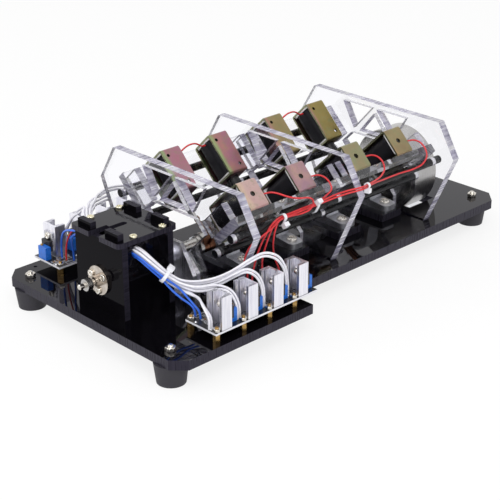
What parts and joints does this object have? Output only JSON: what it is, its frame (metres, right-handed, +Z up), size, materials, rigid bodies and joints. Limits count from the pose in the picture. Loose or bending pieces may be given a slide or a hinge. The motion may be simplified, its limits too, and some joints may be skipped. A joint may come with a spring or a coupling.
{
  "type": "demonstration electric motor",
  "caption": "V-type solenoid engine: pairs of coils pull plungers that turn a crankshaft and flywheel between clear plates on a black base.",
  "frame": {"origin": "on the surface that the feet stand on, under the middle of the whole length and width", "axes": "+X along the crankshaft towards the flywheel, +Y towards the far bank, +Z up"},
  "size_m": [0.398, 0.2, 0.1115],
  "materials": {
    "bare_aluminium": "satin",
    "black_acrylic": "high gloss",
    "black_rubber": "matt",
    "black_tube": "satin black",
    "blue_lead": "PVC",
    "board": "black solder mask",
    "bright_steel": "bright nickel",
    "cast_zinc": "cast, satin",
    "clear_acrylic": "clear, polished faces, laser-cut edges",
    "coil_tape": "black winding tape",
    "link_brass": "satin",
    "magnet_carrier": "moulded",
    "passivated_steel": "zinc plated, yellow and pink passivation",
    "red_lead": "PVC",
    "standoff_brass": "bright",
    "transistor_black": "moulded epoxy",
    "trimmer_blue": "moulded",
    "turned_steel": "turned, fine rings",
    "white_lead": "PVC",
    "white_nylon": "moulded nylon",
    "yellow_steel": "yellow zinc"
  },
  "bodies": {
    "frame": {"bank_rails": "clear_acrylic", "base_plate": "black_acrylic", "bearing_platforms": "black_acrylic", "blue_leads": "blue_lead", "board_nuts": "bright_steel", "board_standoffs": "standoff_brass", "box_front_wall": "black_acrylic", "box_lid": "black_acrylic", "box_rear_wall": "black_acrylic", "box_screws": "yellow_steel", "box_side_walls": "black_acrylic", "coil_bobbins": "white_nylon", "far_driver_board": "board", "far_solenoid_frames": "passivated_steel", "foot_screws": "bright_steel", "front_flange": "bright_steel", "front_plate": "clear_acrylic", "heat_sinks": "bare_aluminium", "middle_plate": "clear_acrylic", "near_driver_board": "board", "near_solenoid_frames": "passivated_steel", "pillow_blocks": "cast_zinc", "pillow_bolts": "bright_steel", "plunger_guides": "black_tube", "power_transistors": "transistor_black", "rail_posts": "clear_acrylic", "rear_plate": "clear_acrylic", "red_leads": "red_lead", "rubber_feet": "black_rubber", "sensor_ring": "magnet_carrier", "shaft_bracket": "bare_aluminium", "solenoid_coils": "coil_tape", "tie_rods": "black_tube", "trimmers": "trimmer_blue", "white_leads": "white_lead", "zip_ties": "white_nylon"},
    "crank": {"crankshaft": "turned_steel", "front_shaft": "bright_steel", "shaft_coupling": "turned_steel", "shaft_collars": "turned_steel", "flywheel": "turned_steel", "magnet_wheel": "magnet_carrier"},
    "near_link_1_body": {"near_link_1": "link_brass"},
    "near_link_2_body": {"near_link_2": "link_brass"},
    "near_link_3_body": {"near_link_3": "link_brass"},
    "near_link_4_body": {"near_link_4": "link_brass"},
    "far_link_1_body": {"far_link_1": "link_brass"},
    "far_link_2_body": {"far_link_2": "link_brass"},
    "far_link_3_body": {"far_link_3": "link_brass"},
    "far_link_4_body": {"far_link_4": "link_brass"},
    "near_plunger_1_body": {"near_plunger_1": "turned_steel"},
    "near_plunger_2_body": {"near_plunger_2": "turned_steel"},
    "near_plunger_3_body": {"near_plunger_3": "turned_steel"},
    "near_plunger_4_body": {"near_plunger_4": "turned_steel"},
    "far_plunger_1_body": {"far_plunger_1": "turned_steel"},
    "far_plunger_2_body": {"far_plunger_2": "turned_steel"},
    "far_plunger_3_body": {"far_plunger_3": "turned_steel"},
    "far_plunger_4_body": {"far_plunger_4": "turned_steel"}
  },
  "joints": [
    {"name": "crank_spin", "type": "hinge", "parent": "frame", "child": "crank", "pos_m": [0, 0, 0.0475], "axis": [1, 0, 0], "continuous": true},
    {"name": "near_link_1_pivot", "type": "hinge", "parent": "crank", "child": "near_link_1_body", "pos_m": [-0.08025, -0.00354, 0.04396], "axis": [1, 0, 0], "continuous": true},
    {"name": "near_link_2_pivot", "type": "hinge", "parent": "crank", "child": "near_link_2_body", "pos_m": [-0.03075, 0.00354, 0.04396], "axis": [1, 0, 0], "continuous": true},
    {"name": "near_link_3_pivot", "type": "hinge", "parent": "crank", "child": "near_link_3_body", "pos_m": [0.03, -0.00354, 0.05104], "axis": [1, 0, 0], "continuous": true},
    {"name": "near_link_4_pivot", "type": "hinge", "parent": "crank", "child": "near_link_4_body", "pos_m": [0.0795, 0.00354, 0.05104], "axis": [1, 0, 0], "continuous": true},
    {"name": "far_link_1_pivot", "type": "hinge", "parent": "crank", "child": "far_link_1_body", "pos_m": [-0.07475, -0.00354, 0.04396], "axis": [1, 0, 0], "continuous": true},
    {"name": "far_link_2_pivot", "type": "hinge", "parent": "crank", "child": "far_link_2_body", "pos_m": [-0.02525, 0.00354, 0.04396], "axis": [1, 0, 0], "continuous": true},
    {"name": "far_link_3_pivot", "type": "hinge", "parent": "crank", "child": "far_link_3_body", "pos_m": [0.0355, -0.00354, 0.05104], "axis": [1, 0, 0], "continuous": true},
    {"name": "far_link_4_pivot", "type": "hinge", "parent": "crank", "child": "far_link_4_body", "pos_m": [0.085, 0.00354, 0.05104], "axis": [1, 0, 0], "continuous": true},
    {"name": "near_plunger_1_slide", "type": "slide", "parent": "frame", "child": "near_plunger_1_body", "axis": [0, -0.7071, 0.7071], "range_m": [-0.00442, 0.00558]},
    {"name": "near_plunger_2_slide", "type": "slide", "parent": "frame", "child": "near_plunger_2_body", "axis": [0, -0.7071, 0.7071], "range_m": [0, 0.01]},
    {"name": "near_plunger_3_slide", "type": "slide", "parent": "frame", "child": "near_plunger_3_body", "axis": [0, -0.7071, 0.7071], "range_m": [-0.01, 0]},
    {"name": "near_plunger_4_slide", "type": "slide", "parent": "frame", "child": "near_plunger_4_body", "axis": [0, -0.7071, 0.7071], "range_m": [-0.00442, 0.00558]},
    {"name": "far_plunger_1_slide", "type": "slide", "parent": "frame", "child": "far_plunger_1_body", "axis": [0, 0.7071, 0.7071], "range_m": [0, 0.01]},
    {"name": "far_plunger_2_slide", "type": "slide", "parent": "frame", "child": "far_plunger_2_body", "axis": [0, 0.7071, 0.7071], "range_m": [-0.00442, 0.00558]},
    {"name": "far_plunger_3_slide", "type": "slide", "parent": "frame", "child": "far_plunger_3_body", "axis": [0, 0.7071, 0.7071], "range_m": [-0.00442, 0.00558]},
    {"name": "far_plunger_4_slide", "type": "slide", "parent": "frame", "child": "far_plunger_4_body", "axis": [0, 0.7071, 0.7071], "range_m": [-0.01, 0]}
  ],
  "couplings": [
    {"joint": "near_link_1_pivot", "follows": "crank_spin", "ratio": -1},
    {"joint": "near_link_2_pivot", "follows": "crank_spin", "ratio": -1},
    {"joint": "near_link_3_pivot", "follows": "crank_spin", "ratio": -1},
    {"joint": "near_link_4_pivot", "follows": "crank_spin", "ratio": -1},
    {"joint": "far_link_1_pivot", "follows": "crank_spin", "ratio": -1},
    {"joint": "far_link_2_pivot", "follows": "crank_spin", "ratio": -1},
    {"joint": "far_link_3_pivot", "follows": "crank_spin", "ratio": -1},
    {"joint": "far_link_4_pivot", "follows": "crank_spin", "ratio": -1}
  ]
}
